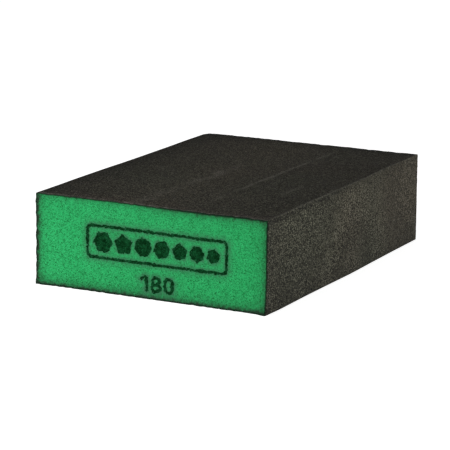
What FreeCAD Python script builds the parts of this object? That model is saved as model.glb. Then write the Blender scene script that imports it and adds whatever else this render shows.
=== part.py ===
import FreeCAD, Part
import Sketcher
import math
import os

# Hand sanding block: a resilient foam core whose four long faces carry an abrasive coat, and whose two
# ends are bare foam. Each coated face is two layers, a flexible resin bond coat that grips the foam and
# a grain coat over it. The top and bottom coats are laid on the wide foam slab, the slab is slit to the
# block's width, and the side coats then cover the slit faces and the edges of the first two coats. The
# front end carries a print that has soaked a little way into the foam: a border, a row of grains that
# run from coarse to fine, and the grit number.
#
# Frame: origin at the centre of the underside, +Z up, +Y along the block's length away from the printed
# end, +X to the right as the printed end is faced. Millimetres.

SIZES = {
    "block_length": 101.6,     # along Y, four inches
    "block_width": 69.85,      # along X, two and three quarter inches
    "block_height": 25.4,      # along Z, one inch
    "bond_thick": 0.15,        # resin bond coat
    "grain_thick": 0.25,       # abrasive grain coat
    "edge_round": 0.2,         # rounding of the long outer edges of the side coats
    "print_depth": 0.2,        # how far the ink soaks into the foam
    "print_centre": 2.2,       # the print's centre line, to the right of the block's centre
    "border_width": 42.4,
    "border_height": 9.4,
    "border_line": 0.75,       # width of the border's line
    "border_round": 1.5,       # outer corner radius of the border
    "border_middle": 14.0,     # height of the border's middle above the underside
    "mark_radius": 2.9,        # corner radius of the coarsest grain mark
    "mark_step": 0.14,         # how much smaller each mark is than the one before it
    "mark_gap": 0.55,          # space between the circles round two neighbouring marks
    "digit_height": 4.65,
    "digit_width": 3.25,
    "digit_stroke": 1.0,
    "digit_gap": 0.5,
    "digit_foot": 1.95,        # height of the digits' feet above the underside
}
MARK_COUNT = 7                 # grain marks in the row
MARK_SIDES = (6, 5, 7)         # crushed grains have different numbers of sides, in this order
MARK_TURN = 23.0               # each mark is turned this many degrees further than the last
FLAG_SLOPE = FreeCAD.Rotation(FreeCAD.Vector(0, -1, 0), 40)  # slope of the flag of the digit one
PRINT_AXIS = FreeCAD.Rotation(FreeCAD.Vector(1, 0, 0), 90)   # turns a part's own +Z to -Y, out of the end

COAT = "(Sizes.bond_thick + Sizes.grain_thick)"
HALF_WIDTH = "(Sizes.block_width / 2)"
FOAM_HALF = f"({HALF_WIDTH} - {COAT})"
FRONT = "(-Sizes.block_length / 2)"
PRINT_BACK = f"({FRONT} + Sizes.print_depth)"


def make_sheet(doc):
    """The driving dimensions, one alias to a row."""
    sheet = doc.addObject("Spreadsheet::Sheet", "Sizes")
    for row, (alias, value) in enumerate(SIZES.items(), start=1):
        sheet.set(f"A{row}", alias)
        sheet.set(f"B{row}", str(value))
        sheet.setAlias(f"B{row}", alias)
    doc.recompute()
    return sheet


def bind(part, **expressions):
    """Ties properties to the sheet. x, y and z are the part's place."""
    for name, expression in expressions.items():
        target = f"Placement.Base.{name}" if name in "xyz" else name
        part.setExpression(target, expression)
    return part


def slab(doc, label, width, length, height, x, y, z):
    """A plain rectangular layer, with its lowest corner at x, y, z."""
    part = doc.addObject("Part::Box", label)
    return bind(part, Length=width, Width=length, Height=height, x=x, y=y, z=z)


def full_length_slab(doc, label, width, height, x, z):
    return slab(doc, label, width, "Sizes.block_length", height, x, FRONT, z)


def joined(doc, kind, label, parts):
    """A fuse (Part::MultiFuse) or a group of separate solids (Part::Compound)."""
    part = doc.addObject(kind, label)
    if kind == "Part::Compound":
        part.Links = parts
    else:
        part.Shapes = parts
    return part


def cut(doc, label, base, tool):
    part = doc.addObject("Part::Cut", label)
    part.Base = base
    part.Tool = tool
    return part


# ---- foam and coats

def make_foam(doc, print_parts):
    """The foam block, less the shallow places that the ink fills."""
    block = full_length_slab(
        doc, "foam_block", f"2 * {FOAM_HALF}", f"Sizes.block_height - 2 * {COAT}", f"-{FOAM_HALF}", COAT)
    inked = joined(doc, "Part::Compound", "inked_places", print_parts)
    return cut(doc, "foam_core", block, inked)


def make_flat_coats(doc):
    """The coats of the two wide faces. They are as wide as the foam."""
    height = "Sizes.block_height"
    layers = [
        ("grain_coat_bottom", "Sizes.grain_thick", "0"),
        ("bond_coat_bottom", "Sizes.bond_thick", "Sizes.grain_thick"),
        ("bond_coat_top", "Sizes.bond_thick", f"{height} - {COAT}"),
        ("grain_coat_top", "Sizes.grain_thick", f"{height} - Sizes.grain_thick"),
    ]
    return [full_length_slab(doc, label, f"2 * {FOAM_HALF}", thick, f"-{FOAM_HALF}", low)
            for label, thick, low in layers]


def make_side_bond_coats(doc):
    """The resin on the two slit faces, over the full height of the block."""
    thick = "Sizes.bond_thick"
    return [
        full_length_slab(doc, "bond_coat_left", thick, "Sizes.block_height", f"-{FOAM_HALF} - {thick}", "0"),
        full_length_slab(doc, "bond_coat_right", thick, "Sizes.block_height", FOAM_HALF, "0"),
    ]


def draw_side_section(sketch, sheet, side):
    """The side grain coat's section, on the XZ plane. side is -1 for the left and 1 for the right."""
    outer = sheet.block_width / 2
    inner = outer - sheet.grain_thick
    top = sheet.block_height
    corners = [(side * inner, 0), (side * outer, 0), (side * outer, top), (side * inner, top)]
    points = [FreeCAD.Vector(x, z, 0) for x, z in corners]
    for start, end in zip(points, points[1:] + points[:1]):
        sketch.addGeometry(Part.LineSegment(start, end), False)
    rule = Sketcher.Constraint
    for line in range(4):
        sketch.addConstraint(rule("Coincident", line, 2, (line + 1) % 4, 1))
    for line in (0, 2):
        sketch.addConstraint(rule("Horizontal", line))
    for line in (1, 3):
        sketch.addConstraint(rule("Vertical", line))
    sketch.addConstraint(rule("PointOnObject", 0, 1, -1))
    origin, foot, corner = (-1, 1), (0, 1), (0, 2)
    near, far = (origin, corner) if side > 0 else (corner, origin)
    reach = sketch.addConstraint(rule("DistanceX", *near, *far, outer))
    across, along = (foot, corner) if side > 0 else (corner, foot)
    thick = sketch.addConstraint(rule("DistanceX", *across, *along, outer - inner))
    height = sketch.addConstraint(rule("DistanceY", 1, 1, 1, 2, top))
    sketch.setExpression(f"Constraints[{reach}]", HALF_WIDTH)
    sketch.setExpression(f"Constraints[{thick}]", "Sizes.grain_thick")
    sketch.setExpression(f"Constraints[{height}]", "Sizes.block_height")


def make_side_grain_coat(doc, sheet, label, side):
    """The grain coat of one slit face. Its two long outer edges are slightly rounded."""
    body = doc.addObject("PartDesign::Body", label)
    sketch = body.newObject("Sketcher::SketchObject", label + "_section")
    plane = next(f for f in body.Origin.OriginFeatures if f.Role == "XZ_Plane")
    sketch.AttachmentSupport = (plane, [""])
    sketch.MapMode = "FlatFace"
    draw_side_section(sketch, sheet, side)
    pad = body.newObject("PartDesign::Pad", label + "_pad")
    pad.Profile = sketch
    pad.SideType = "Symmetric"
    pad.setExpression("Length", "Sizes.block_length")
    doc.recompute()
    outer = side * sheet.block_width / 2
    long_edges = [
        f"Edge{number}" for number, edge in enumerate(pad.Shape.Edges, start=1)
        if abs(edge.Length - sheet.block_length) < 1e-6 and abs(edge.CenterOfMass.x - outer) < 1e-6
    ]
    fillet = body.newObject("PartDesign::Fillet", label + "_edges")
    fillet.Base = (pad, long_edges)
    fillet.setExpression("Radius", "Sizes.edge_round")
    return body


# ---- print on the front end. Every inked solid starts at the end face and reaches print_depth into the foam

def ink_box(doc, label, width, height, x, z):
    return slab(doc, label, width, "Sizes.print_depth", height, x, FRONT, z)


def ink_disc(doc, label, radius, x, z):
    part = doc.addObject("Part::Cylinder", label)
    part.Placement = FreeCAD.Placement(FreeCAD.Vector(), PRINT_AXIS)
    return bind(part, Radius=radius, Height="Sizes.print_depth", x=x, y=PRINT_BACK, z=z)


def make_plate(doc, label, width, height, radius, x, z):
    """A solid rectangle with round corners, centred at x, z."""
    half_width, half_height = f"({width} / 2)", f"({height} / 2)"
    wide = ink_box(doc, f"{label}_wide", width, f"{height} - 2 * {radius}",
                   f"{x} - {half_width}", f"{z} - {half_height} + {radius}")
    tall = ink_box(doc, f"{label}_tall", f"{width} - 2 * {radius}", height,
                   f"{x} - {half_width} + {radius}", f"{z} - {half_height}")
    corners = [
        ink_disc(doc, f"{label}_corner_{n}", radius,
                 f"{x} {across} ({half_width} - {radius})", f"{z} {up} ({half_height} - {radius})")
        for n, (across, up) in enumerate(("--", "+-", "++", "-+"), start=1)
    ]
    return joined(doc, "Part::MultiFuse", label, [wide, tall, *corners])


def make_border(doc):
    """A plain line with round corners, round the grain marks."""
    line = "Sizes.border_line"
    centre = "Sizes.print_centre", "Sizes.border_middle"
    outer = make_plate(doc, "border_outside", "Sizes.border_width", "Sizes.border_height",
                       "Sizes.border_round", *centre)
    inner = make_plate(doc, "border_inside", f"(Sizes.border_width - 2 * {line})",
                       f"(Sizes.border_height - 2 * {line})", f"(Sizes.border_round - {line})", *centre)
    return cut(doc, "print_border", outer, inner)


def make_grain_marks(doc):
    """A row of grains, coarsest at the left. The row is centred in the border."""
    last = MARK_COUNT - 1
    radii_sum = f"({MARK_COUNT} * Sizes.mark_radius - {last * MARK_COUNT // 2} * Sizes.mark_step)"
    row_length = f"(2 * {radii_sum} + {last} * Sizes.mark_gap)"
    marks = []
    for n in range(MARK_COUNT):
        before = f"(2 * {n} * Sizes.mark_radius - {n * (n - 1)} * Sizes.mark_step + {n} * Sizes.mark_gap)"
        radius = f"(Sizes.mark_radius - {n} * Sizes.mark_step)"
        mark = doc.addObject("Part::Prism", f"grain_mark_{n + 1}")
        mark.Polygon = MARK_SIDES[n % len(MARK_SIDES)]
        turn = FreeCAD.Rotation(FreeCAD.Vector(0, 0, 1), n * MARK_TURN)
        mark.Placement = FreeCAD.Placement(FreeCAD.Vector(), PRINT_AXIS * turn)
        x = f"Sizes.print_centre - {row_length} / 2 + {before} + {radius}"
        bind(mark, Circumradius=radius, Height="Sizes.print_depth")
        bind(mark, x=x, y=PRINT_BACK, z="Sizes.border_middle")
        marks.append(mark)
    return joined(doc, "Part::Compound", "print_grain_marks", marks)


def make_pill(doc, label, width, height, upright, x, z):
    """A solid with two half-round ends, centred at x, z. An upright pill is taller than it is wide."""
    across, along = (width, height) if upright else (height, width)
    radius = f"({across} / 2)"
    reach = f"(({along} - {across}) / 2)"
    if upright:
        ends = [(x, f"{z} - {reach}"), (x, f"{z} + {reach}")]
        middle = ink_box(doc, f"{label}_middle", width, f"2 * {reach}", f"{x} - {radius}", f"{z} - {reach}")
    else:
        ends = [(f"{x} - {reach}", z), (f"{x} + {reach}", z)]
        middle = ink_box(doc, f"{label}_middle", f"2 * {reach}", height, f"{x} - {reach}", f"{z} - {radius}")
    discs = [ink_disc(doc, f"{label}_end_{n}", radius, *end) for n, end in enumerate(ends, start=1)]
    return joined(doc, "Part::MultiFuse", label, [middle, *discs])


def make_loop(doc, label, width, height, upright, x, z):
    """A closed stroke: a pill with a smaller pill cut out of it."""
    outside = make_pill(doc, f"{label}_outside", width, height, upright, x, z)
    hole_width = f"({width} - 2 * Sizes.digit_stroke)"
    hole_height = f"({height} - 2 * Sizes.digit_stroke)"
    inside = make_pill(doc, f"{label}_inside", hole_width, hole_height, upright, x, z)
    return cut(doc, label, outside, inside)


def make_one(doc, right):
    """The digit one: a stem, and a flag that slopes down to the left from its top."""
    stroke = "Sizes.digit_stroke"
    stem = ink_box(doc, "one_stem", stroke, "Sizes.digit_height", f"{right} - {stroke}", "Sizes.digit_foot")
    flag = ink_box(doc, "one_flag", f"1.9 * {stroke}", f"0.8 * {stroke}", f"{right} - 2.2 * {stroke}",
                   f"Sizes.digit_foot + Sizes.digit_height - 1.9 * {stroke}")
    flag.Placement = FreeCAD.Placement(FreeCAD.Vector(), FLAG_SLOPE)
    return joined(doc, "Part::MultiFuse", "digit_one", [stem, flag])


def make_eight(doc, x):
    """The digit eight: two loops, one on the other, that share one stroke at the waist."""
    height = "((Sizes.digit_height + Sizes.digit_stroke) / 2)"
    low = f"(Sizes.digit_foot + {height} / 2)"
    high = f"(Sizes.digit_foot + Sizes.digit_height - {height} / 2)"
    lower = make_loop(doc, "eight_lower", "Sizes.digit_width", height, False, x, low)
    upper = make_loop(doc, "eight_upper", "(0.94 * Sizes.digit_width)", height, False, x, high)
    return joined(doc, "Part::MultiFuse", "digit_eight", [lower, upper])


def make_zero(doc, x):
    middle = "(Sizes.digit_foot + Sizes.digit_height / 2)"
    return make_loop(doc, "digit_zero", "Sizes.digit_width", "Sizes.digit_height", True, x, middle)


def make_grit_number(doc):
    """The grit number, with its middle digit on the print's centre line."""
    one = make_one(doc, "(Sizes.print_centre - Sizes.digit_width / 2 - 1.5 * Sizes.digit_gap)")
    eight = make_eight(doc, "Sizes.print_centre")
    zero = make_zero(doc, "(Sizes.print_centre + Sizes.digit_width + Sizes.digit_gap)")
    return joined(doc, "Part::Compound", "print_grit_number", [one, eight, zero])


# ---- checks and export

def check(doc, sheet, parts):
    """Stops on a failed object, an invalid shape, or solids that don't add up to the block's volume."""
    for item in doc.Objects:
        if {"Invalid", "Error"} & set(item.State):
            raise RuntimeError(f"{item.Label} failed: {item.State}")
    total = 0.0
    for part in parts:
        shape = part.Shape
        if shape.isNull() or not shape.isValid() or not shape.Solids:
            raise RuntimeError(f"{part.Label} has no valid solid")
        total += shape.Volume
        print(f"{part.Label:20s} solids {len(shape.Solids)}  volume {shape.Volume:10.2f} mm3")
    block = sheet.block_length * sheet.block_width * sheet.block_height
    rounded_off = 4 * (1 - math.pi / 4) * sheet.edge_round ** 2 * sheet.block_length
    if abs(total - (block - rounded_off)) > 1.0:
        raise RuntimeError(f"the solids hold {total:.2f} mm3, and the block {block - rounded_off:.2f} mm3")


def main():
    doc = FreeCAD.newDocument("SandingBlock")
    sheet = make_sheet(doc)
    print_parts = [make_border(doc), make_grain_marks(doc), make_grit_number(doc)]
    parts = [make_foam(doc, print_parts), *print_parts, *make_flat_coats(doc), *make_side_bond_coats(doc)]
    for label, side in (("grain_coat_left", -1), ("grain_coat_right", 1)):
        parts.append(make_side_grain_coat(doc, sheet, label, side))
    doc.recompute()
    check(doc, sheet, parts)
    os.makedirs("parts", exist_ok=True)
    for part in parts:
        part.Shape.exportStep(f"parts/{part.Label}.step")


main()
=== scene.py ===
import itertools
import math

import bpy
import numpy as np
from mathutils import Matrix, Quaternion, Vector


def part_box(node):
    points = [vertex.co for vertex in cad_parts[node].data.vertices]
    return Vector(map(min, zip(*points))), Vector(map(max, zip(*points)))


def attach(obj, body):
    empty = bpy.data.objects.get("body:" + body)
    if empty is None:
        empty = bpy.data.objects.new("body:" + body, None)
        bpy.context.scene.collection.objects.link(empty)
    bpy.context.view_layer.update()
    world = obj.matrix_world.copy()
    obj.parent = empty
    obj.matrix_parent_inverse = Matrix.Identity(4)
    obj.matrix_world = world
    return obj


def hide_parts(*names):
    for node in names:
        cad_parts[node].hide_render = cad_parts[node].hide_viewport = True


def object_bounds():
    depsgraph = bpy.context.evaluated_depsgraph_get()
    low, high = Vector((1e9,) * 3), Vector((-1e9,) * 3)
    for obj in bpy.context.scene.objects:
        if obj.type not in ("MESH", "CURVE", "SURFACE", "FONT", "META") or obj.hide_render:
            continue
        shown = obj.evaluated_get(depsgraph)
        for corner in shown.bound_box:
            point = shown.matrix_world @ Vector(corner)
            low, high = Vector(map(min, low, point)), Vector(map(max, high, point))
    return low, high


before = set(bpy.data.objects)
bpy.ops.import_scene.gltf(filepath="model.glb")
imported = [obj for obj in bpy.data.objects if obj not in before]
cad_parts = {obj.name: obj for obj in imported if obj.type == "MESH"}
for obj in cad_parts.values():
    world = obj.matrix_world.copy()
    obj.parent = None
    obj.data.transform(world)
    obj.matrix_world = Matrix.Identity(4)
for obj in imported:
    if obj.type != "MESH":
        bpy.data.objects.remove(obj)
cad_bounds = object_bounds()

# A hand sanding block: a foam core with bare, finely celled ends, abrasive coats on its four long faces, and
# a print soaked into the front end. Every CAD node is replaced by a piece of the same size whose surface has
# the foam's cells, the coat's grain or the ink's broken edges as real geometry. Metres, in the CAD's frame.

MM = 0.001
LOW, HIGH = (np.array(corner) for corner in cad_bounds)

# ---- meshes
FOAM_PITCH = 0.195 * MM          # lattice of the foam's ends
COAT_PITCH = 0.285 * MM          # lattice of the top coat
SIDE_PITCH = 0.17 * MM           # lattice of the narrow side coats
HIDDEN_PITCH = 0.4 * MM          # lattice of the bottom coat
BOND_PITCH = 0.22 * MM           # lattice of the resin coats' ends
GRAIN_LAYERS = 3                 # lattice steps through a grain coat
BOND_LAYERS = 2                  # and through a bond coat
STRIPS = 12                      # at most how many polygons along the block make each hidden side
SHARP_ANGLE = math.radians(65)   # smooth pieces are still shaded sharp where they bend more than this
OUTLINE_DIGITS = 7               # corners of the CAD's print that agree to this many decimals are the same
COATS = (("z+", COAT_PITCH), ("z-", HIDDEN_PITCH), ("x-", SIDE_PITCH), ("x+", SIDE_PITCH))

# ---- foam
FOAM_CELL = 0.36 * MM            # size of the cells that are modelled
FINE_CELL = 0.26 * MM            # size of the finer cells in the colour
PIT_DEPTH = 0.14 * MM            # of the deepest pits
PIT_SHALLOW = 0.2                # depth of the shallowest pits, as a share of the deepest
PIT_SLOPE = 0.6                  # how much further, in cells, the next centre is where a pit's slope ends

# ---- coats
CLUMP = 0.4 * MM                 # size of a clump of abrasive grains
SINGLE = 0.19 * MM               # size of a single grain in the relief
GRAIN = 0.26 * MM                # size of a grain in the colour
GRAIN_RELIEF = 0.09 * MM         # height from the gaps between the clumps to their tips
CLUMP_LOW = 0.45                 # height of the lowest clumps, as a share of the highest
CLUMP_SHARE = 0.7                # how much of the relief the clumps make
SINGLE_SHARE = 0.45              # and how much the single grains make
LAP = 0.16 * MM                  # how far the side coats reach in over the long edges of their bond coats
SUNK = 0.06 * MM                 # how far those edges lie below the side coats' own
CUT_BARE = 0.15                  # how much less dark resin there is on the cut ends where it is thin
CUT_RAGGED = 0.1 * MM            # how far the cut end of a coat wanders along the block
RAG_SIZES = (0.9 * MM, 0.3 * MM)             # sizes of the wide and the fine waves in it
SOAK = 0.1 * MM                  # how far the resin has soaked unevenly into the foam
SOAK_SIZES = (0.8 * MM, 0.3 * MM)            # sizes of the wide and the fine patches
RESIN_CELL = 0.3 * MM            # size of the patches of thicker and thinner resin
FRAY_SIZE = 1.1 * MM             # size of the waves in the long edges next to the cut ends
FRAY_LENGTH = 1.0 * MM           # how far along the block the waves go
FRAY_REACH = 1.2 * MM            # how far in from the edges they reach
FRAY_BACK = 0.6                  # how strong they are at the back end, as a share of the front end's

# ---- fine relief, too small to model: size of its lumps, and its depth
FINE_LUMP = 0.12 * MM
FINE_RELIEF = 0.05 * MM
RESIN_LUMP = 0.2 * MM
RESIN_RELIEF = 0.04 * MM

# ---- ink
INK_LIFT = 0.018 * MM            # how far the ink stands off the foam
INK_SOAK = 0.12 * MM             # how far the ink reaches into the foam
INK_HALO = 0.8 * MM              # how far faint ink spreads round the print
INK_DEEPEST = 0.7                # pits deeper than this, as a share of the deepest, stay bare
INK_GAP = 0.24 * MM              # size of the specks that the ink has missed
INK_MARGIN = 0.6 * MM            # how far past its outline a print may reach
BLEED_SIZES = (0.8 * MM, 0.35 * MM)          # sizes of the wide and the fine waves in its edges
FAR = 1.0                        # a distance far beyond every print, in metres

# ---- print: CAD node, piece, how far the ink has spread past its outline, and how far its edge wanders
PRINTS = (
    ("print_border", "border_print", 0.03 * MM, 0.2 * MM),
    ("print_grain_marks", "grain_marks_print", 0.07 * MM, 0.24 * MM),
    ("print_grit_number", "grit_number_print", -0.03 * MM, 0.3 * MM),
)

# ---- how much of each coat's cut ends is dark resin
CUT_DARK = {"x-": 0.97, "x+": 0.9, "z-": 0.95, "z+": 1.0}

# ---- how far the long edges on each side of the block wave in and out next to the cut ends
FRAY = {"x-": 0.3 * MM, "x+": 0.13 * MM, "z-": 0.13 * MM, "z+": 0.13 * MM}

# ---- painted shade along the foam's edges next to each coat, partly resin stain: strength at the edge, and how far it reaches
EDGE_SHADE_AND_STAIN = {"x-": (1.28, 1.0 * MM), "x+": (0.68, 1.45 * MM), "z-": (1.0, 1.3 * MM), "z+": (0.8, 1.0 * MM)}

# ---- wear: radius of each upright edge, by its signs of x and y, and of each long edge, by those of x and z
UPRIGHT_ROUND = {(-1, -1): 0.2 * MM, (1, -1): 0.4 * MM, (-1, 1): 3.0 * MM, (1, 1): 0.8 * MM}
LONG_ROUND = {(-1, -1): 0.15 * MM, (1, -1): 0.1 * MM, (-1, 1): 0.3 * MM, (1, 1): 0.35 * MM}
SLUMP = 0.1 * MM                 # how far the soft block's faces wander from flat
SLUMP_SIZE = 14 * MM

# ---- where the soft block has swelled or given way, in mm: middle, reach, and how far it has moved
SWELLS = (
    ((35, 7, 0), 20, (0.4, 0, 0)),           # the right side's foot bulges
    ((-35, 37, 25.4), 17, (-0.45, 0, 0)),    # the left side bulges near the back
    ((-35, 51, 25.4), 11, (0, -0.6, 0)),     # the back left corner is pressed in
    ((35, 51, 25.4), 9, (-0.15, 0, 0.2)),    # the back right corner stands up
    ((35, -51, 0), 5, (-0.3, 0, 0)),         # the front right corner's foot is pressed in
    ((34.2, -50.8, 0), 1, (0, -0.55, 0)),    # and its tip stands out
    ((-35, -51, 0), 10, (0.2, -0.4, 0)),     # the front left corner's foot sticks out
    ((-12, -51, 25.4), 11, (0, 0, 0.18)),    # the top rises a little at the front
    ((35, 27, 25.4), 16, (0, 0, 0.3)),       # and towards the back of its right edge
)

STREAK_WANDER = 0.25 * MM        # how far the faint marks on the top coat wander from straight
STREAK_BEND = 9 * MM             # how long their bends are
STREAK_GAP = 2.6 * MM            # how long the gaps in them are
STREAK_FADE = 0.3                # share of its length over which each end of a mark fades

# ---- those marks, lengthwise: place across, slant, width, start, end and strength
STREAKS = (
    (11.3 * MM, 0.006, 0.5 * MM, -44 * MM, 52 * MM, 1.0),
    (-3.8 * MM, 0.03, 1.9 * MM, -60 * MM, 20 * MM, 0.45),
    (24.4 * MM, 0.0, 0.7 * MM, -24 * MM, -5 * MM, 0.6),
)

# ---- seeds, one for each use of the noise; each coat's and each print's is SEED_STEP after the last one's
PIT_SEED = 11
STREAK_SEED = 31
RIDGE_SEED = 41
PINK_SEED = 43
WARM_SEED = 45
BARE_SEED = 47
GRAIN_SEED = 100
BOND_SEED = 300
PRINT_SEED = 500
SEED_STEP = 20
SLUMP_SEED = 900
FRAY_SEED = 950

# ---- colours
# a painted highlight on the foam's struts
FOAM_STRUT_HIGHLIGHT = (0.055, 0.5, 0.183)
FOAM_WALL = (0.018, 0.41, 0.116)
# painted shade in the foam's pits and open cell middles, also used for its darker clouds and its falloff to
# the right
FOAM_DEEP_SHADE = (0.001, 0.09, 0.012)
# painted shade on the foam next to the coats, partly resin stain
FOAM_EDGE_SHADE_AND_STAIN = (0.016, 0.03, 0.019)
INK_THICK = (0.0003, 0.011, 0.0016)
INK_THIN = (0.01, 0.105, 0.034)
INK_HAZE = (0.036, 0.118, 0.064)
BOND_THICK = (0.002, 0.016, 0.005)
BOND_THIN = (0.006, 0.045, 0.017)
CUT_RESIN = (0.002, 0.015, 0.006)
# also the colour of the painted shade on the coats
GRAIN_GAP_AND_SHADE = (0.005, 0.005, 0.0039)
GRAIN_BODY = (0.056, 0.0533, 0.0372)
GRAIN_TIP = (0.22, 0.208, 0.153)
# also a painted highlight along the coats' upper edges
GRAIN_RUBBED_AND_LIT = (0.23, 0.22, 0.185)
GRAIN_WARM = (1.06, 0.98, 0.96)
GRAIN_COOL = (0.96, 1.01, 0.96)
GRAIN_PINK = (1.13, 0.98, 1.09)

# ---- setting
SKY = (0.05, 0.3, 1.0, 0.25)     # the sky dims from height 0.05 to 0.3, from strength 1.0 to 0.25
FLOOR_WHITE = (0.82, 0.82, 0.82, 1)
FLOOR_GLOW = 0.8
FLOOR_REACH = 6.0
BLOCK_MIDDLE = (0, 0, 12 * MM)
FRONT_MIDDLE = (0, -50 * MM, 12 * MM)
# name, position, what it points at, diameter and watts
LIGHTS = (
    ("key", (0.8, -0.3, 0.22), BLOCK_MIDDLE, 0.25, 2.05),
    ("window", (-0.3, -0.34, 0.16), FRONT_MIDDLE, 0.16, 1.2),
)
CAMERA_ANGLES = (26.755, 12.806, 0.7015)     # degrees round to the right of the front, up, and rolled
CAMERA_AIM = (-0.11 * MM, -6.0 * MM, 11.47 * MM)
CAMERA_DISTANCE = 674.9 * MM
CAMERA_LENS = 192.09                         # in millimetres, as the sensor's width is
SENSOR_WIDTH = 36.0


# ---- noise

HASH_FACTORS = np.array((73856093, 19349663, 83492791))
HASH_SEED_FACTOR = 1013904223
HASH_MIX = 0x45D9F3B
MASK = 0xFFFFFFFF


def hashed(lattice, seed):
    """A repeatable random number from 0 to 1 for each row of three whole numbers."""
    number = lattice @ HASH_FACTORS + seed * HASH_SEED_FACTOR
    number &= MASK
    for _ in range(2):
        number = ((number >> 16) ^ number) * HASH_MIX & MASK
    return ((number >> 16) ^ number) / MASK


def noise(points, size, seed):
    """Smooth noise from -1 to 1, in lumps about size across."""
    place = points / size
    base = np.floor(place).astype(np.int64)
    part = place - base
    part = part * part * (3 - 2 * part)
    total = np.zeros(len(points))
    for corner in itertools.product((0, 1), repeat=3):
        weight = np.where(np.array(corner, bool), part, 1 - part).prod(axis=1)
        total += weight * hashed(base + corner, seed)
    return 2 * total - 1


def patchy(points, size, seed, middle, swing):
    """Patches about size across, whose strength swings round middle."""
    return middle + swing * noise(points, size, seed)


def cells(points, size, seed):
    """Distances to the two nearest cell centres, in cell sizes, and the nearest cell's own random number."""
    place = points / size
    base = np.floor(place).astype(np.int64)
    nearest = np.full(len(points), 9.0)
    second = nearest.copy()
    own = np.zeros(len(points))
    for step in itertools.product((-1, 0, 1), repeat=3):
        cell = base + step
        centre = cell + np.stack([hashed(cell, seed + axis) for axis in range(3)], axis=1)
        distance = np.linalg.norm(place - centre, axis=1)
        closer = distance < nearest
        second = np.where(closer, nearest, np.minimum(second, distance))
        own = np.where(closer, hashed(cell, seed + 3), own)
        nearest = np.where(closer, distance, nearest)
    return nearest, second, own


def ramp(values, start, end):
    """Smooth step from 0 at start to 1 at end."""
    t = np.clip((values - start) / (end - start), 0, 1)
    return t * t * (3 - 2 * t)


def hump(values, middle, width):
    """A smooth hump: 1 at middle, and almost 0 more than two widths from it."""
    return np.exp(-((values - middle) / width) ** 2)


# ---- box surfaces

SIDES = {"x-": (0, 0), "x+": (0, 1), "y-": (1, 0), "y+": (1, 1), "z-": (2, 0), "z+": (2, 1)}
COAT_SIDES = {"z+": "top", "z-": "bottom", "x-": "left", "x+": "right"}


def side_lattice(side, counts):
    """Lattice places over one side of a box, as three grids, turned so that the side faces out."""
    axis, end = SIDES[side]
    first, second = (axis + 1) % 3, (axis + 2) % 3
    if not end:
        first, second = second, first
    grids = [None, None, None]
    grids[first], grids[second] = np.meshgrid(
        np.arange(counts[first] + 1), np.arange(counts[second] + 1), indexing="ij")
    grids[axis] = np.full_like(grids[first], end * counts[axis])
    return tuple(grids)


def rim(grid):
    """The values round the edge of a grid, in order."""
    return np.concatenate([grid[:-1, 0], grid[-1, :-1], grid[:0:-1, -1], grid[0, :0:-1]])


def strips(grids):
    """Cuts a long side's grids into strips along the block, whichever way the block runs in the grids."""
    across = grids[1][0, 0] == grids[1][-1, 0]
    rows = grids[1].shape[int(across)] - 1
    cuts = sorted({round(rows * k / STRIPS) for k in range(STRIPS + 1)})
    for start, stop in zip(cuts, cuts[1:]):
        part = np.s_[:, start:stop + 1] if across else np.s_[start:stop + 1]
        yield tuple(grid[part] for grid in grids)


def box_surface(low, high, counts, plain):
    """A closed box. Each side is a lattice of triangles, or a few polygons if it is named in plain.
    Returns the points, each point's place in the lattice, and the faces."""
    lattices = {side: side_lattice(side, counts) for side in SIDES}
    number = np.full([n + 1 for n in counts], -1)
    for side, grids in lattices.items():
        if side in plain:
            for part in strips(grids):
                number[tuple(rim(grid) for grid in part)] = 0
        else:
            number[grids] = 0
    place = np.argwhere(number == 0)
    number[tuple(place.T)] = np.arange(len(place))
    faces = []
    for side, grids in lattices.items():
        if side in plain:
            faces += [rim(number[part]).tolist() for part in strips(grids)]
            continue
        ids = number[grids]
        squares = (ids[:-1, :-1], ids[1:, :-1], ids[1:, 1:], ids[:-1, 1:])
        a, b, c, d = (corner.ravel() for corner in squares)
        faces += np.concatenate([np.stack([a, b, c], axis=1), np.stack([a, c, d], axis=1)]).tolist()
    points = np.array(low) + (np.array(high) - np.array(low)) * place / np.array(counts)
    return points, place, faces


def on_side(place, counts, side):
    """Which lattice places lie on one side of a box."""
    axis, end = SIDES[side]
    return place[:, axis] == end * counts[axis]


def inward(place, counts):
    """The way along the block into it: 1 on the front end, -1 on the back end, 0 between them."""
    return 1.0 * on_side(place, counts, "y-") - on_side(place, counts, "y+")


def depth_below(points, low, high, side):
    """How far each point lies below one side of a box."""
    axis, end = SIDES[side]
    return high[axis] - points[:, axis] if end else points[:, axis] - low[axis]


def node_box(node):
    """The lowest and highest corners of a CAD node."""
    return tuple(np.array(corner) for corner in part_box(node))


# ---- the whole block's wear, the same for every piece

def rounded(points, axes, radii):
    """Rounds the block's edges as seen along the third axis. Each square ring round the centre of a corner's
    rounding becomes a round one."""
    result = points.copy()
    for signs, radius in radii.items():
        signs = np.array(signs)
        corner = np.where(signs > 0, HIGH[axes], LOW[axes])
        centre = corner - signs * radius
        beyond = (result[:, axes] - centre) * signs
        inside = (beyond > 0).all(axis=1)
        away = beyond[inside]
        shrink = away.max(axis=1) / np.linalg.norm(away, axis=1)
        result[np.ix_(inside, axes)] = centre + signs * away * shrink[:, None]
    return result


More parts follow.
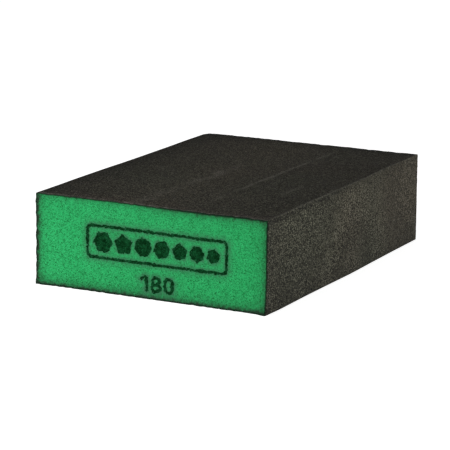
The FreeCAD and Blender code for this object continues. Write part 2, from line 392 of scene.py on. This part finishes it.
def frayed(points):
    """Waves the long edges in and out next to the cut ends. The lower ones only wave up, off the floor."""
    result = points.copy()
    from_end = np.minimum(points[:, 1] - LOW[1], HIGH[1] - points[:, 1])
    at_end = (1 - ramp(from_end, 0, FRAY_LENGTH)) * np.where(points[:, 1] < 0, 1.0, FRAY_BACK)
    for side, far in FRAY.items():
        axis = SIDES[side][0]
        wave = noise(points, FRAY_SIZE, FRAY_SEED + axis)
        if side == "z-":
            wave = np.maximum(wave, 0)
        away = np.maximum(depth_below(points, LOW, HIGH, side), 0)
        result[:, axis] += far * at_end * wave * np.exp(-away / FRAY_REACH)
    return result


def slump(points):
    """Lets the soft block's faces wander a little. The underside stays flat."""
    drift = np.stack([noise(points, SLUMP_SIZE, SLUMP_SEED + axis) for axis in range(3)], axis=1) * SLUMP
    drift[:, 2] *= ramp(points[:, 2], LOW[2], HIGH[2])
    for middle, reach, move in SWELLS:
        distance = np.linalg.norm(points - np.array(middle) * MM, axis=1)
        drift += hump(distance, middle=0, width=reach * MM)[:, None] * np.array(move) * MM
    return points + drift


def worn(points):
    """The points of any piece, moved by all of the block's wear."""
    sectioned = rounded(frayed(points), [0, 2], LONG_ROUND)
    return slump(rounded(sectioned, [0, 1], UPRIGHT_ROUND))


# ---- pieces

def make_piece(name, points, faces, material, smooth=True, **tags):
    """An object on the block's one body. tags are numbers for each point, which its material reads."""
    mesh = bpy.data.meshes.new(name)
    mesh.from_pydata(points.tolist(), [], faces)
    mesh.validate()
    for tag, values in tags.items():
        attribute = mesh.attributes.new(tag, "FLOAT", "POINT")
        attribute.data.foreach_set("value", np.asarray(values, np.float32))
    mesh.polygons.foreach_set("use_smooth", [smooth] * len(mesh.polygons))
    if smooth:
        mesh.set_sharp_from_angle(angle=SHARP_ANGLE)
    mesh.materials.append(material)
    piece = bpy.data.objects.new(name, mesh)
    bpy.context.scene.collection.objects.link(piece)
    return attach(piece, "root")


def foam_pits(points, seed):
    """The cut foam's relief: 0 on a cell's walls, up to 1 in a deep open cell."""
    nearest, second, own = cells(points, FOAM_CELL, seed)
    return ramp(second - nearest, 0, PIT_SLOPE) * (PIT_SHALLOW + (1 - PIT_SHALLOW) * own)


def edge_shade_and_stain(points, low, high):
    """How strongly the foam's ends are darkened next to the coats, from 0 to 1: painted shade, partly resin
    staining.
    """
    clean = np.ones(len(points))
    for side, (strength, reach) in EDGE_SHADE_AND_STAIN.items():
        away = depth_below(points, low, high, side)
        weaker = 0.6 * bare(points, side)
        stained = strength * np.exp(-away / reach) * (1 - weaker)
        clean *= np.clip(1 - stained, 0, 1)
    return 1 - clean


def make_foam(material, outlines):
    """The foam block. Only its two ends show, so its long sides are a few plain polygons. Returns what the
    print needs: the points before wear, the faces, which points are on the front end, and how deep the pits
    are there."""
    low, high = node_box("foam_core")
    size = high - low
    counts = (round(size[0] / FOAM_PITCH), STRIPS // 2, round(size[2] / FOAM_PITCH))
    points, place, faces = box_surface(low, high, counts, ("x-", "x+", "z-", "z+"))
    front = on_side(place, counts, "y-")
    halo = np.zeros(len(points))
    from_ink = np.min([signed_distance(points[front][:, ::2], outline) for outline in outlines], axis=0)
    halo[front] = np.exp(-np.maximum(from_ink, 0) / INK_HALO)
    pit = foam_pits(points, PIT_SEED)
    # painted shade along the foam's edges next to the coats, partly resin stain
    shade_and_stain = edge_shade_and_stain(points, low, high)
    points[:, 1] += inward(place, counts) * pit * PIT_DEPTH
    # painted shade: the foam darkens from left to right, as a light's falloff across it would make it
    shade = ramp(points[:, 0], low[0], high[0])
    tags = {"pit": pit, "shade_and_stain": shade_and_stain, "halo": halo, "shade": shade}
    piece = make_piece("foam_block", worn(points), faces, material, **tags)
    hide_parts("foam_core")
    return points, faces, front, pit


def streaks(points):
    """Strength of the faint lengthwise marks on the top coat."""
    x, y = points[:, 0], points[:, 1]
    total = np.zeros(len(points))
    wander = STREAK_WANDER * noise(points, STREAK_BEND, STREAK_SEED)
    broken = np.clip(patchy(points, STREAK_GAP, STREAK_SEED + 1, middle=0.65, swing=0.7), 0, 1)
    for across, slant, width, start, end, strength in STREAKS:
        band = hump(x, middle=across + slant * y + wander, width=width)
        fade = STREAK_FADE * (end - start)
        reach = ramp(y, start, start + fade) * ramp(-y, -end, -end + fade)
        total += strength * band * reach * broken
    return np.clip(total, 0, 1)


def grain_height(points, seed):
    """The abrasive's relief: 0 in the gaps between clumps, up to 1 on the tips."""
    nearest, _, own = cells(points, CLUMP, seed)
    clump = np.clip(1 - nearest, 0, 1) * (CLUMP_LOW + (1 - CLUMP_LOW) * own)
    single = patchy(points, SINGLE, seed + 7, middle=0.5, swing=0.5)
    return np.clip(CLUMP_SHARE * clump + SINGLE_SHARE * single, 0, 1)


def coat_names(layer, face):
    """The CAD node and the visual piece of one coat. face is the side of the block that it covers."""
    side = COAT_SIDES[face]
    return f"{layer}_coat_{side}", f"{side}_{layer}_coat"


def inner_side(face):
    """The side of a coat that lies against the foam."""
    return face[0] + ("-" if face[1] == "+" else "+")


def make_grain_coat(face, pitch, material, seed):
    """One abrasive coat. Its inner side is a few plain polygons."""
    axis, end = SIDES[face]
    node, name = coat_names("grain", face)
    low, high = node_box(node)
    counts = [round(extent / pitch) for extent in high - low]
    counts[axis] = GRAIN_LAYERS
    hidden = ("x-", "x+") if axis == 2 else ()
    points, place, faces = box_surface(low, high, counts, (inner_side(face), *hidden))
    outward = 1.0 if end else -1.0
    height = grain_height(points, seed)
    streak = streaks(points) * (face == "z+")
    at_cut = inward(place, counts) != 0
    tags = {
        "height": height,
        "streak": streak,
        "pink": pink(points, axis),
        "warm": warmth(points, axis),
        "even": evenness(points, axis),
        # worn grains and a painted highlight along the upper edges
        "wear_and_highlight": wear_and_highlight(points, axis),
        # painted shade on the coats
        "painted_shade": painted_shade_on_top(points) if axis == 2 else painted_shade_on_side(points),
        "cut": np.where(at_cut, CUT_DARK[face] - CUT_BARE * bare(points, face), 0),
    }
    rubbed_down = 0.5 * streak
    relief = (1 - height) * GRAIN_RELIEF * (1 - rubbed_down)
    points[:, axis] -= outward * np.where(on_side(place, counts, face), relief, 0)
    ragged = sum(noise(points, size, seed + k) for k, size in enumerate(RAG_SIZES, start=1)) / 2
    points[:, 1] -= inward(place, counts) * ragged * CUT_RAGGED
    if axis == 0:
        points[:, 0] -= outward * lap(place, counts, end)
    piece = make_piece(name, worn(points), faces, material, smooth=False, **tags)
    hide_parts(node)


def lap(place, counts, end):
    """How far a side coat's long edges reach in over its bond coat's edges: all of LAP on the inner side."""
    from_outer = np.abs(place[:, 0] - end * counts[0]) / counts[0]
    long_edge = on_side(place, counts, "z-") | on_side(place, counts, "z+")
    return np.where(long_edge, LAP * from_outer, 0)


def wear_and_highlight(points, axis):
    """Pale grains, partly wear and partly a painted highlight on edges that face the light: along the upper
    long edges, a little more so in the front half, and in patches along the top's front edge, most of all at
    its left end."""
    from_left, from_front, _ = (points - LOW).T
    from_right, _, from_top = (HIGH - points).T
    weaker_behind = 0.15 * ramp(points[:, 1], -20 * MM, 20 * MM)
    if axis == 0:
        return 0.7 * (1 - weaker_behind) * (1 - ramp(from_top, 0, 0.12 * MM))
    patches = 1.5 * ramp(noise(points, 3 * MM, RIDGE_SEED), 0.1, 0.5)
    specks = 3 * ramp(noise(points, 1.1 * MM, RIDGE_SEED + 1), 0.2, 0.5)
    corner = 2.2 * (1 - ramp(from_left, 4 * MM, 13 * MM))
    weaker_right = 0.35 * ramp(points[:, 0], 0, 20 * MM)
    strength = (0.5 + patches + specks + corner) * (1 - weaker_right)
    front = strength * hump(from_front, middle=0.4 * MM, width=0.75 * MM)
    right = 1.3 * (1 - weaker_behind) * hump(from_right, middle=0.25 * MM, width=0.42 * MM)
    return np.maximum(front, right)


def bare(points, face):
    """Where the resin at a coat's cut end is so thin that the foam's green shows through: along the left
    half of the top."""
    if face != "z+":
        return np.zeros(len(points))
    left = 1 - ramp(points[:, 0], -10 * MM, 12 * MM)
    return left * np.clip(patchy(points, 0.9 * MM, BARE_SEED, middle=0.7, swing=0.5), 0, 1)


def pink(points, axis):
    """Where the coat near the front end is a little pinker, in patches."""
    patches = patchy(points, 5 * MM, PINK_SEED, middle=0.6, swing=0.6)
    strength = 1.0 if axis == 2 else 0.15
    return strength * patches * (1 - ramp(points[:, 1] - LOW[1], 0, 9 * MM))


def warmth(points, axis):
    """From 0, a cool greenish grey, to 1, a warm brown. It changes in large patches, and is warmer on the top
    and towards the back."""
    level = 0.45 if axis == 2 else 0.2
    level += 0.5 * ramp(points[:, 1], -20 * MM, 40 * MM)
    return np.clip(patchy(points, 17 * MM, WARM_SEED, middle=level, swing=0.6), 0, 1)


def evenness(points, axis):
    """How much weaker the contrast between the grains is. It grows towards the back."""
    if axis == 2:
        return 0.15 + 0.2 * ramp(points[:, 1], -35 * MM, -5 * MM)
    return 0.35 * ramp(points[:, 1], -15 * MM, 40 * MM)


def painted_shade_on_side(points):
    """Where a side coat is darker: a painted shadow in a band just below its upper edge, painted shade
    towards its foot, and next to its ends."""
    _, from_front, from_foot = (points - LOW).T
    _, from_back, from_top = (HIGH - points).T
    length = HIGH[1] - LOW[1]
    # a painted shadow in a band just below the upper edge, stronger in the front half
    band_strength = 0.08 + 0.47 * (1 - ramp(from_front, 0.3 * length, 0.7 * length))
    band = band_strength * hump(from_top, middle=0.7 * MM, width=0.6 * MM)
    # painted shade towards the foot, and a painted contact shadow right at it
    lower_part = 0.2 * (1 - ramp(from_foot, 1 * MM, 17 * MM))
    foot = 0.32 * np.exp(-from_foot / (1.8 * MM))
    front = 0.13 * (1 - ramp(from_front, 4 * MM, 12 * MM))
    back = 0.12 * hump(from_back, middle=0, width=1.5 * MM)
    return band + lower_part + foot + front + back


def painted_shade_on_top(points):
    """Painted shade on the top coat: darker along its left and back edges, to the right of its longest mark,
    and a little on both sides of its middle, which leaves a painted sheen down the middle."""
    from_left, from_front, _ = (points - LOW).T
    from_back = HIGH[1] - points[:, 1]
    width, length, _ = HIGH - LOW
    left = 0.55 * np.exp(-(from_left / (8 * MM)) ** 1.5)
    back = 0.43 * hump(from_back, middle=0, width=6.5 * MM)
    right = 0.07 + 0.12 * ramp(from_left, 0.7 * width, 0.95 * width)
    right += 0.08 * ramp(from_front, 0.4 * length, 0.9 * length)
    right *= ramp(from_left, 0.64 * width, 0.69 * width)
    # darker on both sides of the middle, which leaves a painted sheen down it
    sides = 0.1 * ramp(np.abs(from_left - 0.42 * width), 5 * MM, 13 * MM)
    return 1 - (1 - left) * (1 - back) * (1 - right) * (1 - sides)


def make_bond_coat(face, material, seed):
    """One resin coat. Only its ends show, as a dark line, uneven on the inside where it has soaked in."""
    axis, end = SIDES[face]
    node, name = coat_names("bond", face)
    low, high = node_box(node)
    counts = [round(extent / BOND_PITCH) for extent in high - low]
    counts[1] = STRIPS
    counts[axis] = BOND_LAYERS
    plain = [side for side in SIDES if side[0] != "y"]
    points, place, faces = box_surface(low, high, counts, plain)
    outward = 1.0 if end else -1.0
    wide, fine = SOAK_SIZES
    uneven = patchy(points, wide, seed, middle=0.6, swing=0.7) + 0.5 * noise(points, fine, seed + 1)
    soaked = SOAK * uneven * (1 - bare(points, face))
    points[:, axis] -= outward * np.where(on_side(place, counts, inner_side(face)), soaked, 0)
    proud = patchy(points, 0.4 * MM, seed + 2, middle=0.02 * MM, swing=0.04 * MM)
    points[:, 1] -= inward(place, counts) * proud
    if axis == 0:
        points[:, 2] = np.clip(points[:, 2], low[2] + SUNK, high[2] - SUNK)
    piece = make_piece(name, worn(points), faces, material, smooth=False, bare=bare(points, face))
    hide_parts(node)


# ---- print

def front_outline(node):
    """The edges, in x and z, round the front faces of a CAD print node: those that only one triangle has."""
    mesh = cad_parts[node].data
    front = min(vertex.co.y for vertex in mesh.vertices)
    spots = []
    for vertex in mesh.vertices:
        x, y, z = vertex.co
        on_front = y < front + 0.01 * MM
        spots.append((round(x, OUTLINE_DIGITS), round(z, OUTLINE_DIGITS)) if on_front else None)
    count = {}
    for polygon in mesh.polygons:
        corners = [spots[i] for i in polygon.vertices]
        if None in corners:
            continue
        for pair in zip(corners, corners[1:] + corners[:1]):
            key = tuple(sorted(pair))
            count[key] = count.get(key, 0) + 1
    return np.array([pair for pair, uses in count.items() if uses == 1 and pair[0] != pair[1]])


def signed_distance(spots, outline):
    """Distance from each spot (x, z) to an outline. It is negative inside."""
    nearest = np.full(len(spots), FAR)
    crossings = np.zeros(len(spots), int)
    for start, end in outline:
        run = end - start
        t = np.clip((spots - start) @ run / (run @ run), 0, 1)
        nearest = np.minimum(nearest, np.linalg.norm(spots - (start + t[:, None] * run), axis=1))
        if start[1] != end[1]:
            level = (spots[:, 1] > start[1]) != (spots[:, 1] > end[1])
            x = start[0] + run[0] * (spots[:, 1] - start[1]) / run[1]
            crossings += level & (spots[:, 0] < x)
    return np.where(crossings % 2 == 1, -nearest, nearest)


def trimmed(points, faces, field):
    """The part of a triangle mesh where field is negative, cut along its zero line, as points and faces."""
    new_points = []
    new_faces = []
    known = {}

    def corner(i, j):
        key = (min(i, j), max(i, j))
        if key not in known:
            share = 0.0 if i == j else field[key[0]] / (field[key[0]] - field[key[1]])
            known[key] = len(new_points)
            new_points.append(points[key[0]] + share * (points[key[1]] - points[key[0]]))
        return known[key]

    for face in faces:
        polygon = []
        for i, j in zip(face, face[1:] + face[:1]):
            if field[i] < 0:
                polygon.append(corner(i, i))
            if (field[i] < 0) != (field[j] < 0):
                polygon.append(corner(i, j))
        if len(polygon) > 2:
            new_faces.append(polygon)
    return np.array(new_points), new_faces


def thickened(points, faces, front, back):
    """A closed shell: the sheet moved by front, the sheet turned over and moved by back, and the walls."""
    count = len(points)
    edges = {(i, j) for face in faces for i, j in zip(face, face[1:] + face[:1])}
    walls = [[j, i, i + count, j + count] for i, j in sorted(edges) if (j, i) not in edges]
    turned = [[i + count for i in reversed(face)] for face in faces]
    return np.concatenate([points + front, points + back]), faces + turned + walls


def make_print(node, name, outline, spread, bleed, foam, material, seed):
    """Ink on the foam's front end. It follows the foam's own cells and leaves the deepest of them bare."""
    points, faces, front, pit = foam
    low = outline.min(axis=(0, 1)) - INK_MARGIN
    high = outline.max(axis=(0, 1)) + INK_MARGIN
    spots = points[:, ::2]
    near = front & (spots > low).all(axis=1) & (spots < high).all(axis=1)
    wide, fine = BLEED_SIZES
    drift = np.stack([noise(points[near], wide, seed + axis) for axis in range(2)], axis=1) * bleed
    distance = signed_distance(spots[near] + drift, outline)
    distance += bleed * noise(points[near], fine, seed + 2) - spread
    field = np.full(len(points), FAR)
    field[near] = np.maximum(distance, (pit[near] - INK_DEEPEST) * MM)
    field[field == 0] = 1e-9     # so that no point lies exactly on the cut
    touched = [face for face in faces if len(face) == 3 and min(field[i] for i in face) < 0]
    sheet, sheet_faces = trimmed(points, touched, field)
    shell, shell_faces = thickened(sheet, sheet_faces, (0, -INK_LIFT, 0), (0, INK_SOAK, 0))
    piece = make_piece(name, worn(shell), shell_faces, material)
    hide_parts(node)


# ---- materials

class Shader:
    """A material with short ways to add nodes and join them."""

    def __init__(self, name, **constants):
        self.material = bpy.data.materials.new(name)
        self.material.use_nodes = True
        self.tree = self.material.node_tree
        self.surface = self.tree.nodes["Principled BSDF"]
        for socket, value in constants.items():
            self.surface.inputs[socket.replace("_", " ")].default_value = value
        self.place = self.add("ShaderNodeTexCoord").outputs["Object"]

    def add(self, kind, settings=(), inputs=()):
        """A new node. An input is a number, a colour or another node's socket."""
        node = self.tree.nodes.new(kind)
        for key, value in dict(settings).items():
            setattr(node, key, value)
        for key, value in dict(inputs).items():
            if isinstance(value, bpy.types.NodeSocket):
                self.tree.links.new(value, node.inputs[key])
            else:
                node.inputs[key].default_value = value
        return node

    def join(self, value, socket):
        """Joins a socket to one of the surface's own."""
        self.tree.links.new(value, self.surface.inputs[socket])

    def tag(self, name):
        """A number stored on the mesh's points."""
        return self.add("ShaderNodeAttribute", {"attribute_name": name}).outputs["Fac"]

    def noise(self, size):
        """Noise about 0.5, in lumps about size metres across."""
        inputs = {"Vector": self.place, "Scale": 1 / size, "Detail": 2.0}
        return self.add("ShaderNodeTexNoise", (), inputs).outputs["Fac"]

    def grains(self, size):
        """Cells about size metres across: each cell's random number, and 0 at its rim to 1 at its middle."""
        node = self.add("ShaderNodeTexVoronoi", (), {"Vector": self.place, "Scale": 1 / size})
        own = self.add("ShaderNodeSeparateColor", (), {"Color": node.outputs["Color"]}).outputs["Red"]
        return own, self.spread(node.outputs["Distance"], 0.7, 0.1)

    def foam_cells(self, size):
        """Cells about size metres across: each cell's random number, 1 on the thin struts between them, and 1
        in the open middles of the deeper cells."""
        inputs = {"Vector": self.place, "Scale": 1 / size}
        node = self.add("ShaderNodeTexVoronoi", {"feature": "DISTANCE_TO_EDGE"}, inputs)
        walls = node.outputs["Distance"]
        own = self.grains(size)[0]
        pore = self.times(self.spread(walls, 0.06, 0.3), self.spread(own, 0.35, 1.0))
        return own, self.spread(walls, 0.16, 0.03), pore

    def spread(self, value, start, end, to_start=0.0, to_end=1.0):
        """Maps start..end to to_start..to_end, and clamps."""
        inputs = {"Value": value, "From Min": start, "From Max": end, "To Min": to_start, "To Max": to_end}
        return self.add("ShaderNodeMapRange", (), inputs).outputs["Result"]

    def times(self, first, second):
        """The product of two numbers."""
        return self.add("ShaderNodeMath", {"operation": "MULTIPLY"}, {0: first, 1: second}).outputs[0]

    def plus(self, first, second):
        """The sum of two numbers."""
        return self.add("ShaderNodeMath", {"operation": "ADD"}, {0: first, 1: second}).outputs[0]

    def mix(self, amount, first, second, blend="MIX"):
        """A colour between two colours, each a socket or (r, g, b). On a Mix node for colours the amount is
        input 0, the colours are inputs 6 and 7, and the result is output 2."""
        node = self.add("ShaderNodeMix", {"data_type": "RGBA", "blend_type": blend})
        for index, value in ((0, amount), (6, first), (7, second)):
            if isinstance(value, bpy.types.NodeSocket):
                self.tree.links.new(value, node.inputs[index])
            else:
                node.inputs[index].default_value = value if index == 0 else (*value, 1.0)
        return node.outputs[2]

    def tinted(self, colour, factors):
        """A colour times another."""
        return self.mix(1.0, colour, factors, "MULTIPLY")

    def grey(self, value):
        """A grey as bright as a number."""
        inputs = {"Red": value, "Green": value, "Blue": value}
        return self.add("ShaderNodeCombineColor", (), inputs).outputs[0]

    def bump(self, height, depth):
        """A fine relief that is depth metres from its lowest to its highest."""
        node = self.add("ShaderNodeBump", (), {"Height": height, "Distance": depth, "Strength": 1.0})
        self.join(node.outputs["Normal"], "Normal")


def foam_material():
    """Green foam: pale struts, a painted highlight; cells of random tone, darker in their pits and open
    middles as painted shade; painted shade, partly resin staining, next to the coats; painted shade falling
    off from left to right; and faint ink by the print.
    """
    shader = Shader("foam_green", IOR=1.35, Specular_IOR_Level=0.15)
    own, strut, pore = shader.foam_cells(FINE_CELL)
    # how dark each place is: by its fine cell's random tone, and by painted shade in its modelled pit and in
    # the fine cell's open middle
    deep = shader.plus(shader.spread(own, 0.0, 1.0, 0.0, 0.75), shader.times(shader.tag("pit"), 0.3))
    deep = shader.plus(deep, shader.times(pore, 0.8))
    colour = shader.mix(shader.spread(deep, 0.1, 1.25), FOAM_WALL, FOAM_DEEP_SHADE)
    # the paler struts are a painted highlight
    colour = shader.mix(shader.times(strut, 0.6), colour, FOAM_STRUT_HIGHLIGHT)
    # slightly darker in wide clouds, and with painted shade falling off from left to right
    colour = shader.mix(shader.spread(shader.noise(6 * MM), 0.35, 0.65, 0.0, 0.06), colour, FOAM_DEEP_SHADE)
    colour = shader.mix(shader.times(shader.tag("shade"), 0.12), colour, FOAM_DEEP_SHADE)
    # painted shade along the edges next to the coats, partly resin stain, unevenly soaked in
    uneven = shader.spread(shader.noise(0.9 * MM), 0.3, 0.7, 0.7, 1.3)
    shade_and_stain = shader.spread(shader.times(shader.tag("shade_and_stain"), uneven), 0.0, 1.0)
    colour = shader.mix(shade_and_stain, colour, FOAM_EDGE_SHADE_AND_STAIN)
    haze = shader.spread(shader.times(shader.tag("halo"), uneven), 0.0, 1.0, 0.0, 0.8)
    colour = shader.mix(haze, colour, INK_HAZE)
    shader.join(colour, "Base Color")
    shader.join(shader.spread(deep, 0.0, 1.0, 0.8, 1.0), "Roughness")
    shader.bump(shader.plus(strut, shader.noise(FINE_LUMP)), FINE_RELIEF)
    return shader.material


def grain_material():
    """Abrasive coat: rounded grains with dark gaps and a few pale ones, in soft warm and cool clouds."""
    shader = Shader("abrasive_grain", IOR=1.45, Specular_IOR_Level=0.12)
    own, middle = shader.grains(GRAIN)
    # how pale each grain is, from its own number and the relief, less varied where the coat is even
    level = shader.plus(shader.times(own, 0.66), shader.times(shader.tag("height"), 0.4))
    even = shader.tag("even")
    varied = shader.spread(even, 0.0, 1.0, 1.0, 0.0)
    level = shader.plus(shader.times(level, varied), shader.times(even, 0.56))
    colour = shader.mix(shader.spread(level, 0.24, 0.6), GRAIN_GAP_AND_SHADE, GRAIN_BODY)
    colour = shader.mix(shader.spread(level, 0.6, 0.95), colour, GRAIN_TIP)
    cool = shader.tinted(colour, GRAIN_COOL)
    warm = shader.tinted(colour, GRAIN_WARM)
    colour = shader.mix(shader.tag("warm"), cool, warm)
    colour = shader.mix(shader.tag("pink"), colour, shader.tinted(colour, GRAIN_PINK))
    # pale where the grains are worn, on the marks and along the edges, and with a painted highlight along the
    # edges;
    # then darker with painted shade, where the coat is cut, and at each grain's rim
    rubbed_and_lit = shader.times(shader.tag("wear_and_highlight"), shader.spread(shader.noise(0.6 * MM), 0.3, 0.52))
    rubbed_and_lit = shader.plus(shader.times(rubbed_and_lit, 0.6), shader.times(shader.tag("streak"), 0.6))
    colour = shader.mix(rubbed_and_lit, colour, GRAIN_RUBBED_AND_LIT)
    colour = shader.mix(shader.tag("painted_shade"), colour, GRAIN_GAP_AND_SHADE)
    colour = shader.mix(shader.tag("cut"), colour, CUT_RESIN)
    colour = shader.tinted(colour, shader.grey(shader.spread(middle, 0.0, 0.6, 0.35, 1.1)))
    shader.join(colour, "Base Color")
    shader.join(shader.spread(own, 0.0, 1.0, 0.95, 0.6), "Roughness")
    shader.bump(shader.plus(middle, shader.noise(FINE_LUMP)), FINE_RELIEF)
    return shader.material


def bond_material():
    """Dark resin with a little of the foam's green showing through."""
    shader = Shader("bond_resin", IOR=1.3, Specular_IOR_Level=0.2)
    own, middle = shader.grains(RESIN_CELL)
    colour = shader.mix(shader.spread(own, 0.4, 1.0, 0.0, 0.8), BOND_THICK, BOND_THIN)
    shader.join(shader.mix(shader.times(shader.tag("bare"), 0.12), colour, FOAM_WALL), "Base Color")
    shader.join(shader.spread(own, 0.0, 1.0, 0.6, 0.9), "Roughness")
    shader.bump(shader.plus(middle, shader.noise(RESIN_LUMP)), RESIN_RELIEF)
    return shader.material


def ink_material():
    """Near-black ink, thinner on some cells and in some patches, where the foam's green shows through; paler
    on the struts as a painted highlight, and darker in the cells' open middles as painted shade.
    """
    shader = Shader("print_ink", IOR=1.3, Specular_IOR_Level=0.03)
    own, strut, pore = shader.foam_cells(FINE_CELL)
    own_speck, speck_middle = shader.grains(INK_GAP)
    missed = shader.times(shader.spread(own_speck, 0.45, 1.0), speck_middle)
    patch = shader.spread(shader.noise(1.5 * MM), 0.42, 0.7, 0.0, 0.35)
    # the missed specks and thin patches are the ink's own; paler on the struts is a painted highlight, and
    # darker in the open middles painted shade
    thin = shader.plus(shader.plus(missed, patch), shader.times(strut, 0.3))
    thin = shader.plus(thin, shader.times(pore, -0.4))
    shader.join(shader.mix(shader.spread(thin, 0.0, 1.0), INK_THICK, INK_THIN), "Base Color")
    shader.join(shader.spread(own, 0.0, 1.0, 0.75, 1.0), "Roughness")
    shader.bump(shader.plus(strut, shader.noise(FINE_LUMP)), FINE_RELIEF)
    return shader.material


# ---- setting

def make_floor():
    """A plain white floor that glows a little, as a lit table does, so that it stays white by the block."""
    mesh = bpy.data.meshes.new("floor")
    corners = [(x * FLOOR_REACH, y * FLOOR_REACH, LOW[2]) for x, y in ((-1, -1), (1, -1), (1, 1), (-1, 1))]
    mesh.from_pydata(corners, [], [(0, 1, 2, 3)])
    floor = bpy.data.objects.new("floor", mesh)
    bpy.context.scene.collection.objects.link(floor)
    shader = Shader("floor_white", Base_Color=FLOOR_WHITE, Roughness=0.9, IOR=1.2,
                    Emission_Color=(1, 1, 1, 1), Emission_Strength=FLOOR_GLOW)
    mesh.materials.append(shader.material)


def make_light(name, position, aim, size, watts):
    """A round, soft light that points at aim."""
    data = bpy.data.lights.new(name, "AREA")
    data.shape = "DISK"
    data.size = size
    data.energy = watts
    light = bpy.data.objects.new(name, data)
    light.location = position
    light.rotation_mode = "QUATERNION"
    light.rotation_quaternion = (Vector(aim) - Vector(position)).to_track_quat("-Z", "Y")
    bpy.context.scene.collection.objects.link(light)


def make_sky():
    """A sky that is white at the horizon and dimmer overhead."""
    world = bpy.data.worlds.new("soft_white")
    world.use_nodes = True
    tree = world.node_tree
    background = tree.nodes["Background"]
    background.inputs["Color"].default_value = (1, 1, 1, 1)
    direction = tree.nodes.new("ShaderNodeTexCoord").outputs["Generated"]
    split = tree.nodes.new("ShaderNodeSeparateXYZ")
    fall = tree.nodes.new("ShaderNodeMapRange")
    for socket, value in zip(("From Min", "From Max", "To Min", "To Max"), SKY):
        fall.inputs[socket].default_value = value
    tree.links.new(direction, split.inputs[0])
    tree.links.new(split.outputs["Z"], fall.inputs["Value"])
    tree.links.new(fall.outputs["Result"], background.inputs["Strength"])
    bpy.context.scene.world = world


def make_camera():
    """The camera looks a little down on the front right corner."""
    azimuth, elevation, roll = (math.radians(angle) for angle in CAMERA_ANGLES)
    level = math.cos(elevation)
    back = Vector((math.sin(azimuth) * level, -math.cos(azimuth) * level, math.sin(elevation)))
    data = bpy.data.cameras.new("camera")
    data.sensor_width = SENSOR_WIDTH
    data.lens = CAMERA_LENS
    data.clip_start = 0.05
    camera = bpy.data.objects.new("camera", data)
    camera.location = Vector(CAMERA_AIM) + CAMERA_DISTANCE * back
    camera.rotation_mode = "QUATERNION"
    camera.rotation_quaternion = (-back).to_track_quat("-Z", "Y") @ Quaternion((0, 0, 1), roll)
    bpy.context.scene.collection.objects.link(camera)
    bpy.context.scene.camera = camera


def make_setting():
    """Everything round the block: camera, floor, sky and lights."""
    bpy.context.scene.view_settings.view_transform = "Standard"
    make_camera()
    make_floor()
    make_sky()
    for light in LIGHTS:
        make_light(*light)


def make_block():
    """Every piece of the block, from the foam outwards."""
    outlines = [front_outline(node) for node, *_ in PRINTS]
    foam = make_foam(foam_material(), outlines)
    grain, bond, ink = grain_material(), bond_material(), ink_material()
    for number, (face, pitch) in enumerate(COATS):
        make_grain_coat(face, pitch, grain, GRAIN_SEED + SEED_STEP * number)
        make_bond_coat(face, bond, BOND_SEED + SEED_STEP * number)
    for number, ((node, name, spread, bleed), outline) in enumerate(zip(PRINTS, outlines)):
        make_print(node, name, outline, spread, bleed, foam, ink, PRINT_SEED + SEED_STEP * number)


make_setting()
make_block()
